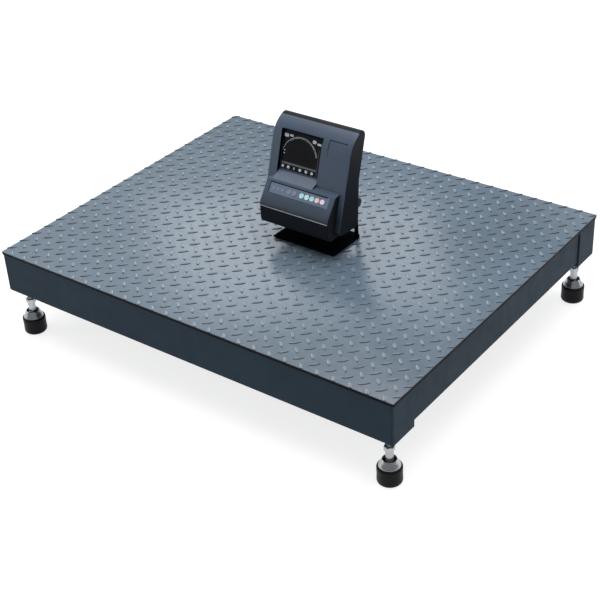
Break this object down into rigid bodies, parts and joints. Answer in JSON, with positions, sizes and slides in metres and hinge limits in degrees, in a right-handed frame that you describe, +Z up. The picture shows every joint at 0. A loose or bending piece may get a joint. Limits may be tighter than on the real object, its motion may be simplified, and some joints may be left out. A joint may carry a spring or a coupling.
{
  "type": "platform shipping scale",
  "caption": "Low chequer-plate floor scale on levelling feet, weighed by shear-beam load cells, with a tilting weighing indicator standing on its deck.",
  "frame": {"origin": "on the floor under the middle of the deck", "axes": "+X along the deck's long side to the right, +Y from the front to the back, +Z up"},
  "size_m": [1, 0.8, 0.4663],
  "materials": {
    "deck_paint": "semi-gloss blue-grey enamel",
    "frame_paint": "dark slate enamel",
    "cell_nickel": "nickel-plated, satin",
    "zinc_steel": "bright zinc plating",
    "box_steel": "satin stainless steel",
    "circuit_board": "solder mask",
    "black_nylon": "moulded nylon",
    "cable_jacket": "smooth cable jacket",
    "foot_rubber": "moulded rubber",
    "stand_paint": "satin black powder coat",
    "front_plastic": "charcoal, fine texture",
    "rear_plastic": "black, fine texture",
    "window_black": "dark glossy window",
    "label_film": "printed overlay film",
    "battery_case": "moulded battery case",
    "key_grey": "lilac grey",
    "key_cyan": "cyan",
    "key_teal": "teal",
    "key_light_cyan": "light cyan",
    "key_peach": "peach",
    "key_pink": "pink"
  },
  "bodies": {
    "platform": {"deck_plate": "deck_paint", "front_channel": "frame_paint", "rear_channel": "frame_paint", "left_channel": "frame_paint", "right_channel": "frame_paint", "channel_end_plates": "frame_paint", "cross_ribs": "frame_paint", "cell_blocks": "frame_paint", "load_cells": "cell_nickel", "cell_bolts": "zinc_steel", "junction_box": "box_steel", "junction_box_lid": "box_steel", "junction_box_screws": "zinc_steel", "summing_board": "circuit_board", "junction_box_glands": "black_nylon", "cell_leads": "cable_jacket", "lead_clips": "black_nylon", "skirt_gland": "black_nylon"},
    "front_left_foot_stud": {"front_left_stud": "zinc_steel", "front_left_nut": "zinc_steel"},
    "front_left_foot_pad": {"front_left_insert": "zinc_steel", "front_left_cup": "foot_rubber"},
    "front_right_foot_stud": {"front_right_stud": "zinc_steel", "front_right_nut": "zinc_steel"},
    "front_right_foot_pad": {"front_right_insert": "zinc_steel", "front_right_cup": "foot_rubber"},
    "rear_left_foot_stud": {"rear_left_stud": "zinc_steel", "rear_left_nut": "zinc_steel"},
    "rear_left_foot_pad": {"rear_left_insert": "zinc_steel", "rear_left_cup": "foot_rubber"},
    "rear_right_foot_stud": {"rear_right_stud": "zinc_steel", "rear_right_nut": "zinc_steel"},
    "rear_right_foot_pad": {"rear_right_insert": "zinc_steel", "rear_right_cup": "foot_rubber"},
    "stand": {"stand_bracket": "stand_paint", "stand_pads": "foot_rubber"},
    "indicator": {"front_shell": "front_plastic", "rear_shell": "rear_plastic", "window_lens": "window_black", "badge": "front_plastic", "display_board": "circuit_board", "digit_modules": "window_black", "keypad_board": "circuit_board", "main_board": "circuit_board", "key_label": "label_film", "battery": "battery_case", "battery_cover": "rear_plastic", "cell_socket": "zinc_steel", "serial_socket": "zinc_steel", "power_inlet": "black_nylon", "shell_screws": "zinc_steel"},
    "left_clamp_knob": {"left_knob": "black_nylon"},
    "right_clamp_knob": {"right_knob": "black_nylon"},
    "key_1_cap": {"key_1": "key_grey"},
    "key_2_cap": {"key_2": "key_grey"},
    "key_3_cap": {"key_3": "key_cyan"},
    "key_4_cap": {"key_4": "key_teal"},
    "key_5_cap": {"key_5": "key_light_cyan"},
    "key_6_cap": {"key_6": "key_peach"},
    "key_7_cap": {"key_7": "key_pink"}
  },
  "joints": [
    {"name": "front_left_level", "type": "slide", "parent": "platform", "child": "front_left_foot_stud", "axis": [0, 0, 1], "range_m": [-0.01, 0.008]},
    {"name": "front_left_swivel", "type": "hinge", "parent": "front_left_foot_stud", "child": "front_left_foot_pad", "pos_m": [-0.47, -0.37, 0.03], "axis": [1, 0, 0], "range_deg": [-8, 8]},
    {"name": "front_right_level", "type": "slide", "parent": "platform", "child": "front_right_foot_stud", "axis": [0, 0, 1], "range_m": [-0.01, 0.008]},
    {"name": "front_right_swivel", "type": "hinge", "parent": "front_right_foot_stud", "child": "front_right_foot_pad", "pos_m": [0.47, -0.37, 0.03], "axis": [1, 0, 0], "range_deg": [-8, 8]},
    {"name": "rear_left_level", "type": "slide", "parent": "platform", "child": "rear_left_foot_stud", "axis": [0, 0, 1], "range_m": [-0.01, 0.008]},
    {"name": "rear_left_swivel", "type": "hinge", "parent": "rear_left_foot_stud", "child": "rear_left_foot_pad", "pos_m": [-0.47, 0.37, 0.03], "axis": [1, 0, 0], "range_deg": [-8, 8]},
    {"name": "rear_right_level", "type": "slide", "parent": "platform", "child": "rear_right_foot_stud", "axis": [0, 0, 1], "range_m": [-0.01, 0.008]},
    {"name": "rear_right_swivel", "type": "hinge", "parent": "rear_right_foot_stud", "child": "rear_right_foot_pad", "pos_m": [0.47, 0.37, 0.03], "axis": [1, 0, 0], "range_deg": [-8, 8]},
    {"name": "stand_lift", "type": "slide", "parent": "platform", "child": "stand", "axis": [0, 0, 1], "range_m": [0, 0.15]},
    {"name": "indicator_tilt", "type": "hinge", "parent": "stand", "child": "indicator", "pos_m": [0.043, 0.0345, 0.303], "axis": [-1, 0, 0], "range_deg": [-10, 25]},
    {"name": "left_knob_turn", "type": "hinge", "parent": "indicator", "child": "left_clamp_knob", "pos_m": [0.043, 0.0345, 0.303], "axis": [-1, 0, 0], "continuous": true},
    {"name": "right_knob_turn", "type": "hinge", "parent": "indicator", "child": "right_clamp_knob", "pos_m": [0.043, 0.0345, 0.303], "axis": [1, 0, 0], "continuous": true},
    {"name": "key_1_press", "type": "slide", "parent": "indicator", "child": "key_1_cap", "axis": [0, 0.8049, -0.5934], "range_m": [0, 0.0005], "stiffness_N_per_m": 1200, "springref_m": -0.0005},
    {"name": "key_2_press", "type": "slide", "parent": "indicator", "child": "key_2_cap", "axis": [0, 0.8049, -0.5934], "range_m": [0, 0.0005], "stiffness_N_per_m": 1200, "springref_m": -0.0005},
    {"name": "key_3_press", "type": "slide", "parent": "indicator", "child": "key_3_cap", "axis": [0, 0.8049, -0.5934], "range_m": [0, 0.0005], "stiffness_N_per_m": 1200, "springref_m": -0.0005},
    {"name": "key_4_press", "type": "slide", "parent": "indicator", "child": "key_4_cap", "axis": [0, 0.8049, -0.5934], "range_m": [0, 0.0005], "stiffness_N_per_m": 1200, "springref_m": -0.0005},
    {"name": "key_5_press", "type": "slide", "parent": "indicator", "child": "key_5_cap", "axis": [0, 0.8049, -0.5934], "range_m": [0, 0.0005], "stiffness_N_per_m": 1200, "springref_m": -0.0005},
    {"name": "key_6_press", "type": "slide", "parent": "indicator", "child": "key_6_cap", "axis": [0, 0.8049, -0.5934], "range_m": [0, 0.0005], "stiffness_N_per_m": 1200, "springref_m": -0.0005},
    {"name": "key_7_press", "type": "slide", "parent": "indicator", "child": "key_7_cap", "axis": [0, 0.8049, -0.5934], "range_m": [0, 0.0005], "stiffness_N_per_m": 1200, "springref_m": -0.0005}
  ]
}
